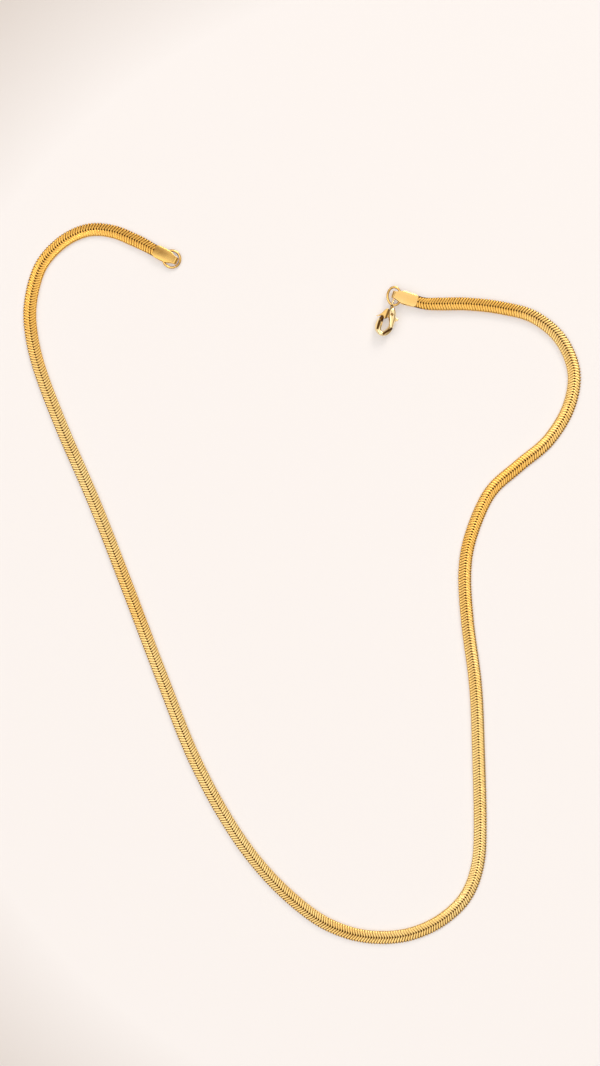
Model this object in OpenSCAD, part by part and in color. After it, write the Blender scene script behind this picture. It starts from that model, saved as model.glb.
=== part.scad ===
// Flat herringbone neck chain with folded end caps, a catch ring and a lobster clasp.
// It lies open on a table, in millimetres, +Z up, +Y towards the two loose ends.

/* [Band] */
// Width of the woven band
band_w = 3.2; // [3:0.05:3.4]
// Thickness of the woven band
band_t = 0.8; // [0.7:0.02:0.84]
// Width of the band where it is squeezed into a cap
band_end_w = 2.66; // [2.4:0.02:2.7]

/* [End caps] */
// Length of a cap, from the fold of its tongue to its mouth
cap_l = 6.3; // [6:0.1:7]
// Width of the body of a cap
cap_w = 3.2; // [3.2:0.05:3.4]
// Height of a cap over both plates
cap_h = 1.32; // [1.3:0.02:1.4]
// Thickness of the sheet that a cap is folded from
sheet_t = 0.22; // [0.18:0.01:0.22]
// Radius of the long edges of a cap
edge_r = 0.3; // [0.1:0.05:0.35]
// Distance from the fold to the closed pocket that holds the band
pocket_x = 4.15; // [4.15:0.05:4.4]

/* [Rings] */
// Thickness of the wire of both rings
ring_wire = 0.6; // [0.5:0.02:0.6]
// Outer diameter of the round catch ring
catch_ring_d = 4.7; // [4.7:0.05:4.8]
// Long outer diameter of the oval jump ring
jump_ring_l = 4.96; // [4.9:0.02:5]
// Short outer diameter of the oval jump ring
jump_ring_w = 3.8; // [3.7:0.05:3.9]
// Width of the seam that each ring is closed at
seam = 0.06; // [0.03:0.01:0.1]

/* [Clasp] */
// Height of the clasp body
clasp_t = 2.4; // [2.3:0.05:2.5]
// Outer diameter of the eye at the tail
eye_d = 2.2; // [2.1:0.05:2.2]
// Thickness of the wire of the eye
eye_wire = 0.45; // [0.4:0.01:0.45]
// Thickness of the trigger
trigger_t = 1.0; // [0.9:0.05:1]
// Diameter of the rivet
rivet_d = 0.6; // [0.5:0.02:0.6]

/* [Hidden] */

// Places: x and y of a point, its height and its turn about Z
X = 0;
Y = 1;
LIFT = 2;
TURN = 3;
catch_cap_at = [-30.1, 77.75, 0, 153.5];
clasp_cap_at = [21.75, 69.85, 0.45, -16.8];
catch_ring_at = [-31.5, 78.43, 0.49, 153.5];
jump_ring_at = [22.25, 69.35, 1.12, 90];
clasp_at = [19.1, 59.75, 1.2, -19];

// Sides of the wire of the jump ring, steps round it and the turn of its seam
wire_sides = 16;
ring_steps = 60;
seam_turn = 40;

// Lean of the catch ring, whose inner end lies between the plates of its cap
catch_ring_lean = 3.6;
// Gap between the end of the band and the start of its pocket
band_gap = 0.06;

// Half of the outline of a cap from above: along from its fold, and its half width
// there as a part of that of the whole cap
cap_side = [
    [0, 0.515], [0.6, 0.525], [1.2, 0.61], [1.8, 0.76], [2.4, 0.91], [3, 0.985], [4, 1],
    [5, 0.985], [5.6, 0.95], [6, 0.85], [6.23, 0.7], [cap_l, 0.55]];
cap_side_steps = 3;

// Route of the band between the mouths of the two caps, laid on the table.
// Columns: x, y, height of the underside above the table, width
WIDTH = 3;
route = [
    [-40, 82.8, 0.12, band_w], [-46, 85.15, 0, band_w], [-52, 85.35, 0, band_w],
    [-58, 82.5, 0, band_w], [-63, 77, 0, band_w], [-65.4, 69.5, 0, band_w],
    [-65.65, 62, 0, band_w], [-63.5, 52, 0, band_w], [-58, 37.5, 0, band_w],
    [-50, 19, 0, band_w], [-42, -1.5, 0, band_w], [-34, -22.5, 0, band_w],
    [-26, -42.5, 0, band_w], [-17, -59, 0, band_w], [-8, -70.8, 0, band_w],
    [2, -79.8, 0, band_w], [10, -84, 0, band_w], [18, -85.55, 0, band_w],
    [26, -84.8, 0, band_w], [33.5, -81.5, 0, band_w], [39.5, -75.8, 0, band_w],
    [42.5, -68, 0, band_w], [43.1, -58, 0, band_w], [42.7, -41, 0, band_w],
    [42, -25, 0, band_w], [40, -9, 0, band_w], [39.4, 3, 0, band_w],
    [41, 12, 0, band_w], [45.5, 22, 0, band_w], [52.5, 28.5, 0, band_w],
    [59.5, 34.5, 0, band_w], [64.4, 42.5, 0, band_w], [65.75, 51, 0.05, band_w],
    [62.5, 59, 0.15, band_w], [56, 64.4, 0.28, band_w], [48, 66.6, 0.42, band_w],
    [40, 67.5, 0.55, band_w], [34, 67.5, 0.64, band_w], [30, 67.55, 0.7, 3]];
route_steps = 4;

// Half of the cross-section of the band, as parts of its half width and half thickness
band_edge = [[1, -0.45], [1, 0.45], [0.85, 0.83], [0.5, 1]];

// Sections of the hook of the clasp, from its tip round the bend and up to the neck.
// Columns: across, along, half width, half height as a part of the clasp's own, and
// how far the section leans, with its inner side up
LEAN = 4;
hook = [
    [-1.2, 4.3, 0.48, 0.5, -8], [-1.42, 3.7, 0.6, 0.62, -18], [-1.47, 3, 0.65, 0.7, -24],
    [-1.46, 2.2, 0.67, 0.76, -24], [-1.29, 1.42, 0.65, 0.8, -14], [-0.8, 0.84, 0.6, 0.83, 0],
    [-0.1, 0.65, 0.58, 0.85, 10], [0.65, 0.98, 0.55, 0.86, 22], [1.18, 1.75, 0.54, 0.88, 22],
    [1.4, 2.7, 0.56, 0.91, 10], [1.38, 3.6, 0.62, 0.95, 0], [1.2, 4.4, 0.77, 0.99, 0],
    [0.96, 5.15, 0.89, 1, 0], [0.72, 5.95, 0.92, 1, 0], [0.48, 6.65, 0.78, 0.94, 0],
    [0.24, 7.12, 0.57, 0.76, 0], [0.04, 7.46, 0.36, 0.42, 0]];
hook_steps = 3;
hook_sides = 20;
// How square the sections of the hook are, where 1 is an ellipse
hook_round = 0.66;

// Rivet, eye and finger stop of the clasp, across and along it
rivet_at = [0.78, 5.55];
eye_along = 8.25;
stop_at = [2.42, 4.85];
stop_t = 1.1;

// Outline of the trigger, across and along the clasp, from its back past the
// thumb spur and the gate to the hub
trigger_outline = [
    [0.5, 6.15], [-0.25, 6.62], [-0.7, 6.8], [-1.05, 6.45], [-1.36, 5.9], [-1.7, 5.2],
    [-1.98, 4.84], [-2.3, 4.52], [-2.72, 4.26], [-2.38, 4.26], [-2.06, 4.44], [-1.8, 4.6],
    [-1.25, 4.43], [-0.68, 4.22], [-0.4, 4.28], [-0.1, 4.55], [0.25, 5.1]];
hub_r = 0.68;
// Room around the trigger and its hub in the clasp body: its reach from the rivet,
// and the directions that its back edge and its inner edge face
slot_gap = 0.06;
slot_r = 2.12;
slot_back = 48;
slot_inner = 262;

rivet_gap = 0.04;
bore_gap = 0.04;
// How deep each end of the rivet is sunk below the top of the clasp body
rivet_sunk = 0.08;

function catmull(a, b, c, d, t) =
    0.5 * (2 * b + (c - a) * t + (2 * a - 5 * b + 4 * c - d) * t * t
        + (3 * b - a - 3 * c + d) * t * t * t);

// A smooth path through a list of rows, column by column
function smooth(rows, steps) =
    let (last = len(rows) - 1,
         all = concat([2 * rows[0] - rows[1]], rows, [2 * rows[last] - rows[last - 1]]))
    [for (i = [1:last]) for (k = [0:steps - 1])
        catmull(all[i - 1], all[i], all[i + 1], all[i + 2], k / steps),
     rows[last]];

// Unit direction across a flat path at row i
function across(rows, i) =
    let (a = rows[max(i - 1, 0)], b = rows[min(i + 1, len(rows) - 1)],
         d = [b[X] - a[X], b[Y] - a[Y]])
    [-d[1], d[0]] / norm(d);

// Point on the centreline of a cap, at a distance from its fold
function in_cap(at, x) =
    [at[X] + x * cos(at[TURN]), at[Y] + x * sin(at[TURN]),
     at[LIFT] + (cap_h - band_t) / 2, band_end_w];

function super(v) = sign(v) * pow(abs(v), hook_round);

// Puts a piece at its place
module place(at) {
    translate([at[X], at[Y], at[LIFT]]) rotate([0, 0, at[TURN]]) children();
}

// Closed solid through a list of rings with the same number of points
module loft(rings) {
    n = len(rings[0]);
    m = len(rings);
    polyhedron(
        points = [for (ring = rings) each ring],
        faces = concat(
            [[for (k = [0:n - 1]) k]],
            [[for (k = [0:n - 1]) n * m - 1 - k]],
            [for (i = [0:m - 2]) for (k = [0:n - 1]) each
                let (a = i * n + k, b = i * n + (k + 1) % n)
                [[a, a + n, b], [b, a + n, b + n]]]));
}

module herringbone_band() {
    rows = smooth(concat(
        [in_cap(catch_cap_at, pocket_x + band_gap), in_cap(catch_cap_at, cap_l)],
        route,
        [in_cap(clasp_cap_at, cap_l), in_cap(clasp_cap_at, pocket_x + band_gap)]),
        route_steps);
    n = len(band_edge) - 1;
    section = concat(
        band_edge,
        [for (k = [n:-1:0]) [-band_edge[k][0], band_edge[k][1]]],
        [[-0.85, -0.83], [-0.5, -1], [0.5, -1], [0.85, -0.83]]);
    color("goldenrod") loft([for (i = [0:len(rows) - 1])
        let (row = rows[i], side = across(rows, i))
        [for (p = section)
            [row[X] + side[0] * p[0] * row[WIDTH] / 2,
             row[Y] + side[1] * p[0] * row[WIDTH] / 2,
             max(row[LIFT], 0) + (1 + p[1]) * band_t / 2]]]);
}

// Outline of a cap from above, with its fold at x = 0
module cap_plan() {
    side = [for (p = smooth(cap_side, cap_side_steps)) [p[0], p[1] * cap_w / 2]];
    last = len(side) - 1;
    polygon(concat(side, [for (i = [last:-1:0]) [side[i][0], -side[i][1]]]));
}

// Bar along x with rounded long edges, a little wider than the cap
module rounded_bar() {
    half = cap_w / 2 + 0.02;
    rotate([90, 0, 90]) linear_extrude(cap_l) {
        translate([-half, edge_r]) square([2 * half, cap_h - 2 * edge_r]);
        translate([edge_r - half, 0]) square([2 * (half - edge_r), cap_h]);
        for (side = [-1, 1]) for (z = [edge_r, cap_h - edge_r])
            translate([side * (half - edge_r), z]) circle(r = edge_r, $fn = 48);
    }
}

// Space of a given height, round at the fold and open towards the mouth
module fold_space(h, length) {
    translate([cap_h / 2, 0, cap_h / 2]) {
        rotate([90, 0, 0]) cylinder(d = h, h = cap_w + 1, center = true, $fn = 64);
        translate([0, -cap_w / 2 - 0.5, -h / 2]) cube([length - cap_h / 2, cap_w + 1, h]);
    }
}

// Sheet folded over at the tongue, with a box at its back that holds the band
module end_cap() {
    inside = cap_h - 2 * sheet_t;
    color("gold") difference() {
        intersection() {
            linear_extrude(cap_h) cap_plan();
            fold_space(cap_h, cap_l);
            rounded_bar();
        }
        fold_space(inside, pocket_x);
        translate([pocket_x - 0.1, sheet_t - cap_w / 2, sheet_t])
            cube([cap_l, cap_w - 2 * sheet_t, inside]);
    }
}

module catch_ring() {
    r = (catch_ring_d - ring_wire) / 2;
    color("gold") place(catch_ring_at) rotate([0, -catch_ring_lean, 0]) difference() {
        rotate_extrude($fn = 96) translate([r, 0]) circle(d = ring_wire, $fn = 32);
        rotate([0, 0, 140]) translate([r, 0, 0])
            cube([2 * ring_wire, seam, 2 * ring_wire], center = true);
    }
}

// Oval wire with its long axis along x, open by the width of its seam
module jump_ring() {
    a = (jump_ring_l - ring_wire) / 2;
    b = (jump_ring_w - ring_wire) / 2;
    half_seam = asin(seam / 2 / b);
    turn = (360 - 2 * half_seam) / ring_steps;
    color("gold") place(jump_ring_at) loft([for (i = [0:ring_steps])
        let (t = seam_turn + half_seam + i * turn,
             side = [b * cos(t), a * sin(t)] / norm([b * cos(t), a * sin(t)]))
        [for (k = [0:wire_sides - 1])
            let (out = cos(360 * k / wire_sides) * ring_wire / 2)
            [a * cos(t) + side[0] * out, b * sin(t) + side[1] * out,
             -sin(360 * k / wire_sides) * ring_wire / 2]]]);
}

// Hook, body and neck of the clasp as one smooth casting, middle height at z = 0
module clasp_casting() {
    rows = smooth(hook, hook_steps);
    loft([for (i = [0:len(rows) - 1])
        let (row = rows[i], side = across(rows, i), lean = row[LEAN])
        [for (k = [0:hook_sides - 1])
            let (a = 360 * (k + 0.5) / hook_sides,
                 w = super(cos(a)) * row[2],
                 h = super(sin(a)) * row[3] * clasp_t / 2,
                 inward = w * cos(lean) - h * sin(lean))
            [row[X] + side[0] * inward, row[Y] + side[1] * inward,
             w * sin(lean) + h * cos(lean)]]]);
}

// Room for the trigger when it swings back, from above
module slot_plan() {
    hub_room = hub_r + slot_gap;
    far = 3 * slot_r;
    back = hub_room * [cos(slot_back), sin(slot_back)];
    translate(rivet_at) {
        circle(r = hub_room, $fn = 64);
        intersection() {
            circle(r = slot_r, $fn = 96);
            polygon([[0, 0], back, back + far * [-sin(slot_back), cos(slot_back)],
                far * [cos(slot_inner - 60), sin(slot_inner - 60)],
                far * [cos(slot_inner), sin(slot_inner)]]);
        }
    }
}

module clasp_body() {
    color("gold") place(clasp_at) difference() {
        union() {
            clasp_casting();
            translate([0, eye_along, 0]) rotate([0, 90, 0])
                rotate_extrude($fn = 96) translate([(eye_d - eye_wire) / 2, 0])
                    circle(d = eye_wire, $fn = 32);
            hull() {
                translate([stop_at[0], stop_at[1], 0])
                    cylinder(r = 0.22, h = stop_t, center = true, $fn = 32);
                translate([1.5, 4.7, 0]) cylinder(r = 0.6, h = stop_t, center = true, $fn = 32);
            }
        }
        translate([0, 0, -trigger_t / 2 - slot_gap])
            linear_extrude(trigger_t + 2 * slot_gap) slot_plan();
        translate([rivet_at[0], rivet_at[1], 0])
            cylinder(d = rivet_d + 2 * rivet_gap, h = 2 * clasp_t, center = true, $fn = 48);
    }
}

module clasp_trigger() {
    color("gold") place(clasp_at) difference() {
        translate([0, 0, -trigger_t / 2]) linear_extrude(trigger_t) {
            polygon(trigger_outline);
            translate(rivet_at) circle(r = hub_r, $fn = 64);
        }
        translate([rivet_at[0], rivet_at[1], 0])
            cylinder(d = rivet_d + 2 * bore_gap, h = 2 * trigger_t, center = true, $fn = 48);
    }
}

module clasp_rivet() {
    color("goldenrod") place(clasp_at) translate([rivet_at[0], rivet_at[1], 0])
        cylinder(d = rivet_d, h = clasp_t - 2 * rivet_sunk, center = true, $fn = 48);
}

herringbone_band();
place(catch_cap_at) end_cap();  // catch_end_cap
catch_ring();
place(clasp_cap_at) end_cap();  // clasp_end_cap
jump_ring();
clasp_body();
clasp_trigger();
clasp_rivet();
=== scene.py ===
import math
import bmesh
import bpy
from mathutils import Euler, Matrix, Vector


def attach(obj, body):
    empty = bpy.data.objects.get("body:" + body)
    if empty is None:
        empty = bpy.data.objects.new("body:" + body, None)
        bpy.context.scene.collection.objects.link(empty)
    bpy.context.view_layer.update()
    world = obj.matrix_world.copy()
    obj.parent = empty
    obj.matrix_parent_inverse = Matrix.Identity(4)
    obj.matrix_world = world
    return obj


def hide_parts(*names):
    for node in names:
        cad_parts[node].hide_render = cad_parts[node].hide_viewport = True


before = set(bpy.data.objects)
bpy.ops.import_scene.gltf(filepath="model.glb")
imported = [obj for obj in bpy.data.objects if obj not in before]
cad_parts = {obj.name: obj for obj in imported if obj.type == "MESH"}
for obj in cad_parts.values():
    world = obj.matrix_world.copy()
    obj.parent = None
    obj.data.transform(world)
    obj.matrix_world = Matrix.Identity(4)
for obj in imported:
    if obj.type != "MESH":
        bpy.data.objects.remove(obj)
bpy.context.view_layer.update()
mm = 0.001
bumpDepth = 0.00002  # metres
print("frame loaded:", sorted(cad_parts))


# A wrapped socket, so that an expression on values adds its own Math nodes
class Wire:
    def __init__(self, tree, socket):
        self.tree = tree
        self.socket = socket

    def maths(self, operation, first, second):
        node = addNode(self.tree, "ShaderNodeMath", {"operation": operation},
                       {0: first, 1: second})
        return Wire(self.tree, node.outputs[0])

    def __add__(self, other):
        return self.maths("ADD", self, other)

    def __radd__(self, other):
        return self.maths("ADD", other, self)

    def __rsub__(self, other):
        return self.maths("SUBTRACT", other, self)

    def __mul__(self, other):
        return self.maths("MULTIPLY", self, other)

    def __rmul__(self, other):
        return self.maths("MULTIPLY", other, self)

    def __truediv__(self, other):
        return self.maths("DIVIDE", self, other)

    def __lt__(self, other):
        return self.maths("LESS_THAN", self, other)


def plug(tree, socket, value):
    if isinstance(value, Wire):
        tree.links.new(value.socket, socket)
    elif isinstance(value, bpy.types.NodeSocket):
        tree.links.new(value, socket)
    else:
        socket.default_value = value


def addNode(tree, kind, settings=None, inputs=None):
    node = tree.nodes.new(kind)
    for key, value in (settings or {}).items():
        setattr(node, key, value)
    for key, value in (inputs or {}).items():
        plug(tree, node.inputs[key], value)
    return node


# A material with its shader, and one method for every node that isn't maths
class Paint:
    def __init__(self, name):
        self.material = bpy.data.materials.new(name)
        self.material.use_nodes = True
        self.tree = self.material.node_tree
        self.shader = self.tree.nodes["Principled BSDF"]

    def make(self, kind, settings=None, inputs=None, output=0):
        return Wire(self.tree, addNode(self.tree, kind, settings, inputs).outputs[output])

    def place(self):
        return self.make("ShaderNodeTexCoord", output="Object")

    def noise(self, scale, detail, stretch=(1, 1, 1), turn=0.0):
        mapped = self.make("ShaderNodeMapping", None,
                           {"Vector": self.place(), "Rotation": (0, 0, turn), "Scale": stretch})
        return self.make("ShaderNodeTexNoise", None,
                         {"Vector": mapped, "Scale": scale, "Detail": detail})

    def away(self, middle):
        return self.make("ShaderNodeVectorMath", {"operation": "DISTANCE"},
                         {0: self.place(), 1: middle}, output="Value")

    def ramp(self, value, low, high):
        return self.make("ShaderNodeMapRange", {"clamp": True},
                         {"Value": value, "From Min": low, "From Max": high})

    def mix(self, mask, first, second):
        return self.make("ShaderNodeMix", {"data_type": "RGBA"},
                         {0: mask, 6: first, 7: second}, output=2)

    def bump(self, height, strength):
        return self.make("ShaderNodeBump", None,
                         {"Height": height, "Strength": strength, "Distance": bumpDepth})

    def paintedShade(self):
        return self.make("ShaderNodeAttribute", {"attribute_name": "paintedShade"}, output="Fac")

    def set(self, **values):
        for name, value in values.items():
            plug(self.tree, self.shader.inputs[name.replace("_", " ")], value)


# Colours of the gold materials; the last four are the dark tones of painted shade
goldLook = {
    "bright": (1.0, 0.755, 0.325, 1),
    "deep": (0.93, 0.55, 0.13, 1),
    "paintedShade": (0.34, 0.13, 0.008, 1),
    "polishedShadeTone": (0.11, 0.045, 0.008, 1),
    "core": (0.15, 0.06, 0.01, 1),
    "dark": (0.05, 0.02, 0.004, 1),
}
# The links: broad patches and fine flecks of a deeper tone, a fine grain, and painted shade on
# the straps' flanks, rims and middle, which the painted shade stretches make lighter
weaveLook = {
    "patchScale": 70,
    "patchFrom": 0.38,
    "patchTo": 0.64,
    "patchTone": 0.25,
    "patchRough": 0.03,
    "fleckScale": 2600,
    "fleckTone": 0.25,
    "fleckRough": 0.04,
    "grainScale": 9000,
    "grainBump": 0.12,
    "shadeFadeInStretches": 0.4,
    "paintedShadeRough": 0.15,
    "roughness": 0.28,
}
# Stretches of the band painted in a deeper tone as painted shade: middle, radius, softness,
# strength
paintedShadeStretches = [
    ((-0.052, 0.08, 0), 0.019, 0.014, 0.95), ((0.038, 0.067, 0), 0.012, 0.014, 0.65),
    ((0.045, 0.018, 0), 0.01, 0.02, 0.7), ((0.061, 0.04, 0), 0.008, 0.014, 0.25),
    ((0.014, -0.085, 0), 0.008, 0.016, 0.25), ((0.041, -0.014, 0), 0.01, 0.018, 0.2),
    ((-0.04, -0.004, 0), 0.004, 0.015, 0.4)]


def wovenGold():
    look = weaveLook
    paint = Paint("wovenGold")
    patch = paint.ramp(paint.noise(look["patchScale"], 1.0), look["patchFrom"], look["patchTo"])
    fleck = paint.noise(look["fleckScale"], 3.0)
    paintedShade = paint.paintedShade()
    # The stretches add painted shade, a deeper tone at given places along the band
    stretch = 0.0
    for middle, radius, softness, strength in paintedShadeStretches:
        away = paint.away(middle)
        stretch = stretch + strength * paint.ramp(away, radius + softness, radius)
    depth = look["patchTone"] * patch + look["fleckTone"] * fleck + stretch
    tone = paint.mix(depth, goldLook["bright"], goldLook["deep"])
    # Painted shade on the links, weaker within the painted shade stretches
    fadedShade = paintedShade * (1 - look["shadeFadeInStretches"] * stretch)
    rough = (look["roughness"] + look["patchRough"] * patch + look["fleckRough"] * fleck
             + look["paintedShadeRough"] * paintedShade)
    paint.set(Base_Color=paint.mix(fadedShade, tone, goldLook["paintedShade"]), Metallic=1.0,
              Specular_Tint=goldLook["bright"], Roughness=rough,
              Normal=paint.bump(paint.noise(look["grainScale"], 2.0), look["grainBump"]))
    return paint.material


# A dark core between the links, a sheet of painted shade that shows through their gaps
coreLook = {
    "scale": 1500,
    "roughness": 0.45,
    "unevenRough": 0.2,
}


def shadeCoreGold():
    paint = Paint("shadeCoreGold")
    shade = paint.noise(coreLook["scale"], 2.0)
    paint.set(Base_Color=paint.mix(shade, goldLook["dark"], goldLook["core"]), Metallic=1.0,
              Specular_Tint=goldLook["deep"],
              Roughness=coreLook["roughness"] + coreLook["unevenRough"] * shade)
    return paint.material


# Smudges, polishing streaks and painted shade of the caps, rings and clasp
polishLook = {
    "smudgeScale": 420,
    "smudgeFrom": 0.35,
    "smudgeTo": 0.7,
    "smudgeTone": 0.35,
    "smudgeRough": 0.06,
    "streakScale": 1400,
    "streakStretch": (1, 22, 1),
    "streakRough": 0.05,
    "streakBump": 0.06,
    "polishedShadeRough": 0.2,
}
# Each polished metal: its name, its tone, the turn of its streaks in degrees, its roughness
polishedMetals = [
    ("capGold", (0.96, 0.65, 0.255, 1), 20.0, 0.13),
    # The catch cap's tone, deeper than capGold's, is painted shade
    ("shadedCatchGold", (0.94, 0.6, 0.185, 1), 20.0, 0.13),
    ("ringGold", (0.95, 0.62, 0.22, 1), 0.0, 0.08),
    # The clasp body's paler tone is its gold with a painted highlight
    ("litClaspGold", (1.0, 0.82, 0.46, 1), -19.0, 0.07),
    # The rivet's dark tone is painted shade of its sunk head
    ("shadedRivetGold", (0.3, 0.16, 0.06, 1), 0.0, 0.2)]


def polishedGold(name, tone, turn, roughness):
    look = polishLook
    paint = Paint(name)
    smudge = paint.ramp(paint.noise(look["smudgeScale"], 2.0),
                        look["smudgeFrom"], look["smudgeTo"])
    streak = paint.noise(look["streakScale"], 3.0, look["streakStretch"], math.radians(turn))
    paintedShade = paint.paintedShade()
    polished = paint.mix(look["smudgeTone"] * smudge, tone, goldLook["deep"])
    rough = (roughness + look["smudgeRough"] * smudge + look["streakRough"] * streak
             + look["polishedShadeRough"] * paintedShade)
    # Painted shade: the metal is darkened as far as its points' shade attribute says
    paint.set(Base_Color=paint.mix(paintedShade, polished, goldLook["polishedShadeTone"]), Metallic=1.0,
              Roughness=rough, Normal=paint.bump(streak, look["streakBump"]))
    return paint.material


metals = {row[0]: polishedGold(*row) for row in polishedMetals}
bandGold = wovenGold()
shadeCoreMetal = shadeCoreGold()
print("materials made")


def toMetres(mesh):
    mesh.transform(((mm, 0, 0, 0), (0, mm, 0, 0), (0, 0, mm, 0), (0, 0, 0, 1)))


def addPiece(name, mesh, body, replaces, material=None, smoothAngle=35.0):
    for polygon in mesh.polygons:
        polygon.use_smooth = True
    mesh.set_sharp_from_angle(angle=math.radians(smoothAngle))
    if material:
        mesh.materials.clear()
        mesh.materials.append(material)
    piece = bpy.data.objects.new(name, mesh)
    bpy.context.scene.collection.objects.link(piece)
    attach(piece, body)
    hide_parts(*replaces)
    print("piece", name, len(mesh.polygons), "faces")


# The band is woven from closed flat links that follow one route: sizes in millimetres, angles
# in degrees, and the shares of the sway about a link's X, Y and Z
band = {
    "width": 3.2,
    "thickness": 0.8,
    "endWidth": 2.66,
    "linkPitch": 0.645,
    "linkWidth": 0.62,
    "strapThickness": 0.2,
    "slantLeft": 24.0,
    "slantRight": 30.0,
    "apexRound": 0.12,
    "lean": 0.04,
    "sway": 2.2,
    "swayShares": (0.6, 1.0, 0.3),
    "seed": 7,
    "smoothAngle": 50.0,
    "routeSteps": 24,
    "coreWidth": 2.86,
    "coreThickness": 0.34,
    "coreRound": 0.45,
    "coreStep": 0.8,
}
# The middle of the band from the left cap to the right one: x, y, height of its underside
# and width
bandRoute = [
    (-40, 82.8, 0.12, 3.2), (-46, 85.15, 0, 3.2), (-52, 85.35, 0, 3.2),
    (-58, 82.5, 0, 3.2), (-63, 77, 0, 3.2), (-65.4, 69.5, 0, 3.2),
    (-65.65, 62, 0, 3.2), (-63.5, 52, 0, 3.2), (-58, 37.5, 0, 3.2),
    (-50, 19, 0, 3.2), (-42, -1.5, 0, 3.2), (-34, -22.5, 0, 3.2),
    (-26, -42.5, 0, 3.2), (-17, -59, 0, 3.2), (-8, -70.8, 0, 3.2),
    (2, -79.8, 0, 3.2), (10, -84, 0, 3.2), (18, -85.55, 0, 3.2),
    (26, -84.8, 0, 3.2), (33.5, -81.5, 0, 3.2), (39.5, -75.8, 0, 3.2),
    (42.5, -68, 0, 3.2), (43.1, -58, 0, 3.2), (42.7, -41, 0, 3.2),
    (42, -25, 0, 3.2), (40, -9, 0, 3.2), (39.4, 3, 0, 3.2),
    (41, 12, 0, 3.2), (45.5, 22, 0, 3.2), (52.5, 28.5, 0, 3.2),
    (59.5, 34.5, 0, 3.2), (64.4, 42.5, 0, 3.2), (65.75, 51, 0.05, 3.2),
    (62.5, 59, 0.15, 3.2), (56, 64.4, 0.28, 3.2), (48, 66.6, 0.42, 3.2),
    (40, 67.5, 0.55, 3.2), (34, 67.5, 0.64, 3.2), (30, 67.55, 0.7, 3)]
# A cap lies at the x, y, z of its fold, turned by a number of degrees
caps = {
    "height": 1.32,
    "length": 6.3,
    "bandEnd": 4.21,
    "crown": 0.09,
    "crownRise": 5.0,
    "bow": 0.05,
    "bowFrom": 0.35,
    "bowReach": 0.42,
    "catchAt": (-30.1, 77.75, 0.0, 153.5),
    "claspAt": (21.75, 69.85, 0.45, -16.8),
}


# A row of the route inside a cap, at a distance from the cap's fold
def inCap(at, distance):
    turn = math.radians(at[3])
    return (at[0] + distance * math.cos(turn), at[1] + distance * math.sin(turn),
            at[2] + (caps["height"] - band["thickness"]) / 2, band["endWidth"])


def routeObject():
    rows = ([inCap(caps["catchAt"], caps["bandEnd"]), inCap(caps["catchAt"], caps["length"])]
            + bandRoute
            + [inCap(caps["claspAt"], caps["length"]), inCap(caps["claspAt"], caps["bandEnd"])])
    mesh = bpy.data.meshes.new("route")
    points = [(x, y, lift + band["thickness"] / 2) for x, y, lift, width in rows]
    mesh.from_pydata(points, [(i, i + 1) for i in range(len(rows) - 1)], [])
    squeeze = mesh.attributes.new("squeeze", "FLOAT", "POINT")
    for i, row in enumerate(rows):
        squeeze.data[i].value = row[3] / band["width"]
    route = bpy.data.objects.new("route", mesh)
    bpy.context.scene.collection.objects.link(route)
    return route


# The upper half of a link from its outer rim across to its inner one: distance from the
# band's middle, share of the full height, share of the link's width, how much painted shade
# darkens it there
linkStations = [
    (-1.5, 0, 0.62, 0.35), (-1.42, 0.6, 0.6, 0.3), (-1.28, 0.86, 0.64, 0.2),
    (-1.17, 0.93, 0.96, 0), (-1.0, 0.98, 1, 0), (-0.5, 1, 1, 0), (-0.24, 1, 0.94, 0),
    (-0.12, 0.97, 0.54, 0.1), (0, 0.96, 0.5, 0.1), (0.12, 0.97, 0.54, 0.1),
    (0.24, 1, 0.94, 0), (0.5, 1, 1, 0), (1.0, 0.98, 1, 0), (1.28, 0.9, 1, 0),
    (1.44, 0.62, 0.95, 0), (1.5, 0, 0.85, 0.1)]
# Section of the strap: along the band, out from the link's loop, how much painted shade darkens it
# there
strapSection = [
    (-0.5, -0.5, 1), (-0.5, 0.02, 0.7), (-0.43, 0.34, 0.15), (-0.2, 0.5, 0),
    (0.2, 0.5, 0), (0.43, 0.34, 0.15), (0.5, 0.02, 0.7), (0.5, -0.5, 1)]


def linkObject():
    lift = (band["thickness"] - band["strapThickness"]) / 2
    top = [(v, lift * w, part, dark) for v, w, part, dark in linkStations]
    loop = top + [(v, -w, part, dark) for v, w, part, dark in reversed(top[1:-1])]
    n = len(loop)
    vertices = []
    shades = []
    for i, (v, w, part, dark) in enumerate(loop):
        before = loop[i - 1]
        after = loop[(i + 1) % n]
        along = Vector((after[0] - before[0], after[1] - before[1])).normalized()
        out = Vector((-along.y, along.x))
        slant = math.tan(math.radians(band["slantLeft"] if v > 0 else band["slantRight"]))
        ahead = -slant * (math.hypot(v, band["apexRound"]) - band["apexRound"])
        for a, h, shade in strapSection:
            height = h * band["strapThickness"] - a * band["lean"] * abs(out.y)
            vertices.append((ahead + a * part * band["linkWidth"],
                             v + out.x * height, w + out.y * height))
            shades.append(min(1.0, shade + dark))
    m = len(strapSection)
    faces = [(i * m + k, i * m + (k + 1) % m, (i + 1) % n * m + (k + 1) % m, (i + 1) % n * m + k)
             for i in range(n) for k in range(m)]
    mesh = bpy.data.meshes.new("link")
    mesh.from_pydata(vertices, [], faces)
    # Each point of the link carries how much painted shade darkens it
    paintedShade = mesh.attributes.new("paintedShade", "FLOAT", "POINT")
    for i, shade in enumerate(shades):
        paintedShade.data[i].value = shade
    form = bmesh.new()
    form.from_mesh(mesh)
    bmesh.ops.recalc_face_normals(form, faces=form.faces)
    form.to_mesh(mesh)
    form.free()
    link = bpy.data.objects.new("link", mesh)
    bpy.context.scene.collection.objects.link(link)
    return link


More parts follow.
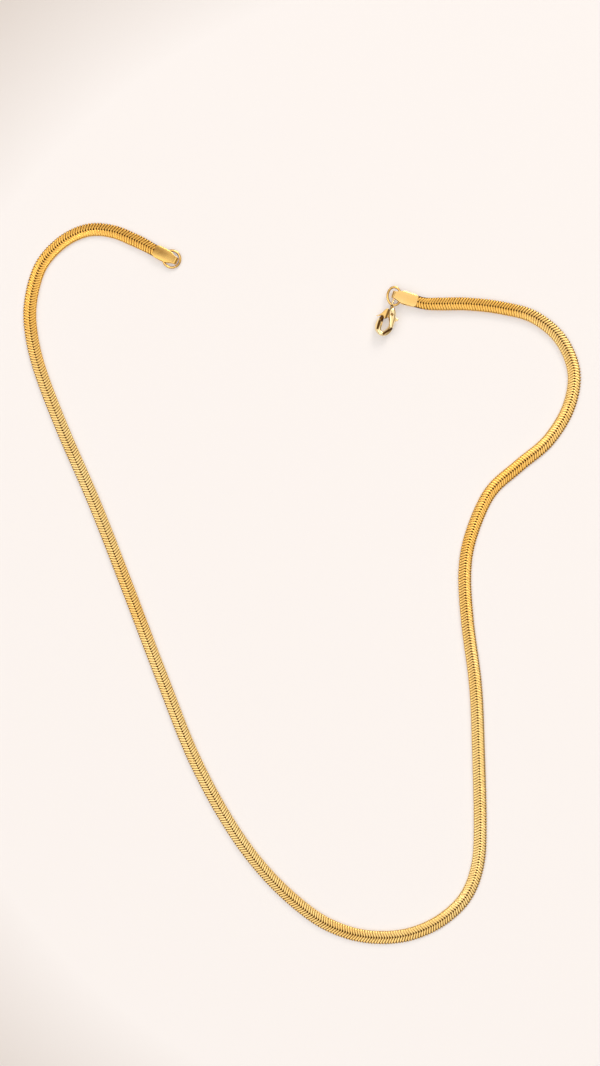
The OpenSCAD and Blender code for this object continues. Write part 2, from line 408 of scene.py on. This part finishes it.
def newTree(name, sockets):
    tree = bpy.data.node_groups.new(name, "GeometryNodeTree")
    tree.interface.new_socket("Geometry", in_out="OUTPUT", socket_type="NodeSocketGeometry")
    tree.interface.new_socket("Geometry", in_out="INPUT", socket_type="NodeSocketGeometry")
    for label, kind in sockets:
        tree.interface.new_socket(label, in_out="INPUT", socket_type=kind)
    return tree, addNode(tree, "NodeGroupInput").outputs, addNode(tree, "NodeGroupOutput")


# Joins a tree's geometry to its output, real and with its material
def finishTree(tree, geometry, given, result):
    real = addNode(tree, "GeometryNodeRealizeInstances", None, {0: geometry})
    dressed = addNode(tree, "GeometryNodeSetMaterial", None,
                      {"Geometry": real.outputs[0], "Material": given["Material"]})
    tree.links.new(dressed.outputs[0], result.inputs[0])


def runTree(source, tree, values):
    modifier = source.modifiers.new("shape", "NODES")
    modifier.node_group = tree
    for item in tree.interface.items_tree:
        if item.in_out == "INPUT" and item.name in values:
            modifier[item.identifier] = values[item.name]
    depsgraph = bpy.context.evaluated_depsgraph_get()
    mesh = bpy.data.meshes.new_from_object(source.evaluated_get(depsgraph))
    source.modifiers.remove(modifier)
    toMetres(mesh)
    return mesh


# The route as a smooth curve with a point at every step
def steppedRoute(tree, geometry, step):
    curve = addNode(tree, "GeometryNodeMeshToCurve", None, {0: geometry})
    rounded = addNode(tree, "GeometryNodeCurveSplineType", {"spline_type": "CATMULL_ROM"},
                      {"Curve": curve.outputs[0]})
    smooth = addNode(tree, "GeometryNodeSetSplineResolution", None,
                     {0: rounded.outputs[0], "Resolution": band["routeSteps"]}).outputs[0]
    length = Wire(tree, addNode(tree, "GeometryNodeCurveLength", None, {0: smooth}).outputs[0])
    return addNode(tree, "GeometryNodeResampleCurve", None,
                   {"Curve": smooth, "Count": length / Wire(tree, step)}).outputs[0]


def linkTree():
    tree, given, result = newTree("linksAlongRoute", [
        ("Link", "NodeSocketObject"), ("Pitch", "NodeSocketFloat"), ("From", "NodeSocketFloat"),
        ("To", "NodeSocketFloat"), ("Sway", "NodeSocketFloat"), ("Seed", "NodeSocketInt"),
        ("Material", "NodeSocketMaterial")])
    points = steppedRoute(tree, given["Geometry"], given["Pitch"])
    share = Wire(tree, addNode(tree, "GeometryNodeSplineParameter").outputs["Factor"])
    start = Wire(tree, given["From"])
    picked = (share < Wire(tree, given["To"])) * (1 - (share < start))
    tangent = addNode(tree, "GeometryNodeInputTangent").outputs[0]
    heading = addNode(tree, "FunctionNodeAxesToRotation",
                      {"primary_axis": "X", "secondary_axis": "Z"},
                      {"Primary Axis": tangent, "Secondary Axis": (0, 0, 1)})
    random = addNode(tree, "FunctionNodeRandomValue", {"data_type": "FLOAT_VECTOR"},
                     {0: [-most for most in band["swayShares"]], 1: band["swayShares"],
                      "Seed": given["Seed"]})
    sways = addNode(tree, "ShaderNodeVectorMath", {"operation": "SCALE"},
                    {0: random.outputs[0], "Scale": given["Sway"]})
    tilt = addNode(tree, "FunctionNodeEulerToRotation", None, {0: sways.outputs[0]})
    turned = addNode(tree, "FunctionNodeRotateRotation", {"rotation_space": "LOCAL"},
                     {0: heading.outputs[0], 1: tilt.outputs[0]})
    squeeze = addNode(tree, "GeometryNodeInputNamedAttribute", {"data_type": "FLOAT"},
                      {"Name": "squeeze"})
    scale = addNode(tree, "ShaderNodeCombineXYZ", None,
                    {"X": 1.0, "Y": squeeze.outputs[0], "Z": 1.0})
    link = addNode(tree, "GeometryNodeObjectInfo", None, {"Object": given["Link"]})
    placed = addNode(tree, "GeometryNodeInstanceOnPoints", None, {
        "Points": points, "Selection": picked, "Instance": link.outputs["Geometry"],
        "Rotation": turned.outputs[0], "Scale": scale.outputs[0]})
    finishTree(tree, placed.outputs[0], given, result)
    return tree


def coreTree():
    tree, given, result = newTree("coreAlongRoute", [
        ("Width", "NodeSocketFloat"), ("Thickness", "NodeSocketFloat"),
        ("Step", "NodeSocketFloat"), ("Material", "NodeSocketMaterial")])
    points = steppedRoute(tree, given["Geometry"], given["Step"])
    upright = addNode(tree, "GeometryNodeSetCurveNormal", {"mode": "Z_UP"}, {0: points})
    outline = addNode(tree, "GeometryNodeCurvePrimitiveQuadrilateral", {"mode": "RECTANGLE"},
                      {"Width": given["Width"], "Height": given["Thickness"]})
    softened = addNode(tree, "GeometryNodeFilletCurve", None, {
        "Curve": outline.outputs[0], "Radius": Wire(tree, given["Thickness"]) * band["coreRound"]})
    swept = addNode(tree, "GeometryNodeCurveToMesh", None, {
        "Curve": upright.outputs[0], "Profile Curve": softened.outputs[0], "Fill Caps": True})
    finishTree(tree, swept.outputs[0], given, result)
    return tree


# The links make two meshes: name, and the shares of the route that it starts and ends at
linkHalves = [("bandLinksFirst", -1.0, 0.5), ("bandLinksSecond", 0.5, 2.0)]
route = routeObject()
link = linkObject()
links = linkTree()
for name, start, end in linkHalves:
    rowMesh = runTree(route, links, {
        "Link": link, "Pitch": band["linkPitch"], "From": start, "To": end,
        "Sway": math.radians(band["sway"]), "Seed": band["seed"], "Material": bandGold})
    addPiece(name, rowMesh, "necklace", ["herringbone_band"],
             smoothAngle=band["smoothAngle"])
# The core is dark: a sheet of painted shade seen through the links' gaps
coreMesh = runTree(route, coreTree(), {
    "Width": band["coreWidth"], "Thickness": band["coreThickness"], "Step": band["coreStep"],
    "Material": shadeCoreMetal})
addPiece("bandCore", coreMesh, "necklace", ["herringbone_band"])
bpy.data.objects.remove(route)
bpy.data.objects.remove(link)
print("band woven")


polishing = {
    "mergeWithin": 0.0005,
    "voxel": 0.045,
    "rounds": 3,
    "strength": 0.5,
    "smoothAngle": 80.0,
}


# The shape of a CAD node with a fine even skin whose edges are polished round, in millimetres
def polishedSkin(node):
    form = bmesh.new()
    form.from_mesh(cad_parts[node].data)
    bmesh.ops.scale(form, vec=(1 / mm, 1 / mm, 1 / mm), verts=form.verts)
    bmesh.ops.remove_doubles(form, verts=form.verts, dist=polishing["mergeWithin"])
    mesh = bpy.data.meshes.new("casting")
    form.to_mesh(mesh)
    form.free()
    casting = bpy.data.objects.new("casting", mesh)
    bpy.context.scene.collection.objects.link(casting)
    remesh = casting.modifiers.new("skin", "REMESH")
    remesh.mode = "VOXEL"
    remesh.voxel_size = polishing["voxel"]
    soften = casting.modifiers.new("polish", "SMOOTH")
    soften.factor = polishing["strength"]
    soften.iterations = polishing["rounds"]
    depsgraph = bpy.context.evaluated_depsgraph_get()
    finished = bpy.data.meshes.new_from_object(casting.evaluated_get(depsgraph))
    bpy.data.objects.remove(casting)
    return finished


# Where a point lies, measured along a place's own turned X and Y
def fromPlace(point, at):
    x = point.x - at[0]
    y = point.y - at[1]
    turn = math.radians(at[3])
    return x * math.cos(turn) + y * math.sin(turn), y * math.cos(turn) - x * math.sin(turn)


# A cap's two plates are slightly bowed, closest together along their edges and at the mouth
def crownedCap(node, at):
    mesh = polishedSkin(node)
    middle = caps["height"] / 2
    for vertex in mesh.vertices:
        along, side = fromPlace(vertex.co, at)
        along /= caps["length"]
        side /= band["width"] / 2
        up = (vertex.co.z - at[2] - middle) / middle
        bow = caps["bow"] * max(0.0, along - caps["bowFrom"]) ** 2 / caps["bowReach"]
        drop = caps["crown"] * side ** 2 + bow
        vertex.co.z -= drop * up * max(0.0, min(1.0, along * caps["crownRise"]))
    toMetres(mesh)
    return mesh


for name, node, at, metal in [("catchCap", "catch_end_cap", caps["catchAt"], "shadedCatchGold"),
                              ("claspCap", "clasp_end_cap", caps["claspAt"], "capGold")]:
    addPiece(name, crownedCap(node, at), "necklace", [node],
             metals[metal], polishing["smoothAngle"])
print("caps made")


# Each ring's middle, turn and lean in degrees, outer length and width, and where its seam is
rings = {
    "catchRing": {"node": "catch_ring", "at": (-31.5, 78.43, 0.49), "turn": 153.5, "lean": 3.6,
                  "size": (4.7, 4.7), "seam": 140.0},
    "jumpRing": {"node": "jump_ring", "at": (22.25, 69.35, 1.12), "turn": 90.0, "lean": 0.0,
                 "size": (4.96, 3.8), "seam": 40.0},
}
# The rings' wire. A row of endRows is a share of endRound and the wire's radius there.
ringWire = {
    "thickness": 0.6,
    "sides": 20,
    "steps": 96,
    "seamGap": 0.06,
    "endRound": 0.08,
    "endRows": [(0.0, 0.8), (0.3, 0.93), (1.0, 1.0)],
    "innerPaintedShade": 0.9,
    "outerPaintedShade": 0.35,
}


# A wire bent to an oval, closed at a fine seam with softly rounded ends
def wireRing(ring):
    a = (ring["size"][0] - ringWire["thickness"]) / 2
    b = (ring["size"][1] - ringWire["thickness"]) / 2
    gap = math.degrees(ringWire["seamGap"] / 2 / min(a, b))
    soft = math.degrees(ringWire["endRound"] / min(a, b))
    span = 360 - 2 * gap
    ends = [(soft * share, part) for share, part in ringWire["endRows"]]
    steps = ringWire["steps"]
    stations = ends + [(span * i / steps, 1.0) for i in range(2, steps - 1)]
    stations += [(span - angle, part) for angle, part in reversed(ends)]
    turns = [2 * math.pi * k / ringWire["sides"] for k in range(ringWire["sides"])]
    form = bmesh.new()
    loops = []
    for angle, part in stations:
        t = math.radians(ring["seam"] + gap + angle)
        out = Vector((b * math.cos(t), a * math.sin(t), 0)).normalized()
        middle = Vector((a * math.cos(t), b * math.sin(t), 0))
        radius = ringWire["thickness"] / 2 * part
        loops.append([form.verts.new(middle + out * math.cos(k) * radius
                                     + Vector((0, 0, math.sin(k) * radius))) for k in turns])
    for first, second in zip(loops, loops[1:]):
        for k in range(ringWire["sides"]):
            after = (k + 1) % ringWire["sides"]
            form.faces.new((first[k], first[after], second[after], second[k]))
    form.faces.new(loops[0])
    form.faces.new(list(reversed(loops[-1])))
    bmesh.ops.recalc_face_normals(form, faces=form.faces)
    mesh = bpy.data.meshes.new("ring")
    form.to_mesh(mesh)
    form.free()
    # Painted shade: the wire's inner side is darkened most, its outer side less
    paintedShade = mesh.attributes.new("paintedShade", "FLOAT", "POINT")
    for i, shade in enumerate(paintedShade.data):
        side = math.cos(turns[i % ringWire["sides"]])
        shade.value = ringWire["innerPaintedShade" if side < 0 else "outerPaintedShade"] * side ** 2
    turned = Euler((0, math.radians(-ring["lean"]), math.radians(ring["turn"]))).to_matrix()
    for vertex in mesh.vertices:
        vertex.co = turned @ vertex.co + Vector(ring["at"])
    toMetres(mesh)
    return mesh


for name, ring in rings.items():
    addPiece(name, wireRing(ring), "necklace", [ring["node"]],
             metals["ringGold"])
print("rings made")


# Where the clasp lies: x, y, z and turn in degrees
claspAt = (19.1, 59.75, 1.2, -19.0)
# Painted shade on the clasp, in strokes from one point across and along the clasp to another,
# with its radius, softness and strength
claspPaintedShade = [
    ((-0.34, 4.4), (-0.3, 7.4), 0.18, 0.14, 0.9), ((-1.35, 4.3), (-1.15, 3.7), 0.36, 0.3, 1.0),
    ((-1.48, 3.2), (-1.42, 1.35), 0.2, 0.16, 1.0), ((0.35, 0.6), (1.75, 2.3), 0.2, 0.18, 1.0),
    ((0.78, 5.55), (0.78, 5.55), 0.3, 0.14, 0.6), ((-0.1, 7.65), (0.35, 7.65), 0.12, 0.14, 0.9)]


def castPiece(node, name, body, material):
    mesh = polishedSkin(node)
    # Each point takes the darkest painted shade of the strokes that reach it
    paintedShade = mesh.attributes.new("paintedShade", "FLOAT", "POINT")
    for vertex, shade in zip(mesh.vertices, paintedShade.data):
        place = Vector(fromPlace(vertex.co, claspAt))
        for first, second, radius, softness, strength in claspPaintedShade:
            start = Vector(first)
            way = Vector(second) - start
            reach = way.length_squared or 1.0  # a painted shade stroke may be a single point
            part = max(0.0, min(1.0, (place - start).dot(way) / reach))
            away = (place - start - part * way).length
            depth = max(0.0, min(1.0, (radius + softness - away) / softness))
            shade.value = max(shade.value, strength * depth)
    toMetres(mesh)
    addPiece(name, mesh, body, [node], material, polishing["smoothAngle"])


castPiece("clasp_body", "claspBody", "necklace", metals["litClaspGold"])
castPiece("clasp_trigger", "claspTrigger", "trigger", metals["capGold"])
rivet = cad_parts["clasp_rivet"]
rivet.data.materials.clear()
rivet.data.materials.append(metals["shadedRivetGold"])
print("clasp made")


# The camera looks straight down: middle and height in millimetres, clipStart in metres
view = {
    "middle": (-0.484, 12.22),
    "height": 358.3,
    "lens": 50.0,
    "sensor": 36.0,
    "clipStart": 0.01,
}
camera = bpy.data.objects.new("camera", bpy.data.cameras.new("camera"))
camera.data.lens = view["lens"]
camera.data.sensor_width = view["sensor"]
camera.data.clip_start = view["clipStart"]
camera.location = (view["middle"][0] * mm, view["middle"][1] * mm, view["height"] * mm)
bpy.context.scene.collection.objects.link(camera)
bpy.context.scene.camera = camera

# A pale table, in metres, that glows a little because the photo's shadows are faint, and is
# darker far from one point
floorLook = {
    "size": 3.0,
    "colour": (0.598, 0.577, 0.567, 1),
    "shade": (0.378, 0.332, 0.295, 1),
    "glow": 0.55,
    "shadeCentre": (0.042, 0.008, 0.0),
    "shadeFrom": 0.14,
    "shadeTo": 0.2,
    "roughness": 0.85,
    "grainScale": 900,
    "grainRough": 0.1,
    "specular": 0.15,
}


def floorPaint():
    look = floorLook
    paint = Paint("paleTable")
    # Painted shade darkens the table far from shadeCentre, and its glow is painted light that
    # lifts its shadows
    shade = paint.ramp(paint.away(look["shadeCentre"]), look["shadeFrom"], look["shadeTo"])
    tone = paint.mix(shade, look["colour"], look["shade"])
    grain = paint.noise(look["grainScale"], 2.0)
    paint.set(Base_Color=tone, Emission_Color=tone, Emission_Strength=look["glow"],
              Roughness=look["roughness"] + look["grainRough"] * grain,
              Specular_IOR_Level=look["specular"])
    return paint.material


half = floorLook["size"] / 2
floorMesh = bpy.data.meshes.new("floor")
floorMesh.from_pydata([(-half, -half, 0), (half, -half, 0), (half, half, 0), (-half, half, 0)], [],
                      [(0, 1, 2, 3)])
floorMesh.materials.append(floorPaint())
floor = bpy.data.objects.new("floor", floorMesh)
bpy.context.scene.collection.objects.link(floor)

# One large key light from the upper right of the picture, in a sky that is light above and
# dark low down
lights = {
    "keyFrom": (0.426, 0.905, 0.58),
    "keyDistance": 3.0,
    "keySize": 1.2,
    "keyPower": 34.0,
    "keyColour": (1.0, 0.93, 0.85),
    "skyStrength": 1.13,
    "skyTop": (0.98, 0.955, 0.94, 1),
    "skySide": (0.12, 0.085, 0.06, 1),
    "sideHeight": 0.32,
    "topHeight": 0.78,
}
# Soft boxes and dark flags round the table: direction, radius, softness and tint there
skyCards = [
    ((-0.75, 0.0, 0.65), 0.25, 0.16, (2.6, 2.6, 2.6, 1)),
    ((-0.4, -0.6, 0.7), 0.15, 0.12, (2.2, 2.2, 2.2, 1)),
    ((0.2, 0.65, 0.75), 0.2, 0.15, (1.8, 1.7, 1.6, 1)),
    ((0.65, -0.35, 0.72), 0.28, 0.2, (0.42, 0.37, 0.27, 1)),
    ((-0.26, 0.32, 1), 0.15, 0.1, (0.2, 0.11, 0.03, 1)),
    ((-0.06, 0.15, 1), 0.04, 0.06, (1.12, 1.2, 1.32, 1)),
    ((0.16, 0.16, 1), 0.06, 0.1, (0.9, 0.84, 0.76, 1)),
    ((-0.25, -0.02, 1), 0.08, 0.1, (1.3, 1.3, 1.3, 1)),
    ((0.07, -0.24, 1), 0.12, 0.14, (1.1, 1.13, 1.16, 1))]
keyFrom = Vector(lights["keyFrom"]).normalized()
key = bpy.data.objects.new("key", bpy.data.lights.new("key", "AREA"))
key.data.shape = "DISK"
key.data.size = lights["keySize"]
key.data.energy = lights["keyPower"]
key.data.color = lights["keyColour"]
key.location = keyFrom * lights["keyDistance"]
key.rotation_euler = keyFrom.to_track_quat("Z", "Y").to_euler()
bpy.context.scene.collection.objects.link(key)


# A value that goes smoothly from none to one between two limits
def smoothRange(tree, value, low, high):
    return addNode(tree, "ShaderNodeMapRange", {"clamp": True, "interpolation_type": "SMOOTHSTEP"},
                   {"Value": value, "From Min": low, "From Max": high})


def studioSky():
    world = bpy.data.worlds.new("studio")
    world.use_nodes = True
    tree = world.node_tree
    direction = addNode(tree, "ShaderNodeTexCoord").outputs["Generated"]
    split = addNode(tree, "ShaderNodeSeparateXYZ", None, {0: direction})
    height = smoothRange(tree, split.outputs["Z"], lights["sideHeight"], lights["topHeight"])
    colour = addNode(tree, "ShaderNodeMix", {"data_type": "RGBA"},
                     {0: height.outputs[0], 6: lights["skySide"], 7: lights["skyTop"]})
    for towards, radius, softness, tint in skyCards:
        away = addNode(tree, "ShaderNodeVectorMath", {"operation": "DISTANCE"},
                       {0: direction, 1: Vector(towards).normalized()})
        card = smoothRange(tree, away.outputs["Value"], radius, radius + softness)
        plug(tree, card.inputs["To Min"], 1.0)
        plug(tree, card.inputs["To Max"], 0.0)
        colour = addNode(tree, "ShaderNodeMix", {"data_type": "RGBA", "blend_type": "MULTIPLY"},
                         {0: card.outputs[0], 6: colour.outputs[2], 7: tint})
    background = tree.nodes["Background"]
    plug(tree, background.inputs["Color"], colour.outputs[2])
    plug(tree, background.inputs["Strength"], lights["skyStrength"])
    bpy.context.scene.world = world


studioSky()
bpy.context.scene.view_settings.view_transform = "Standard"
print("stage set")
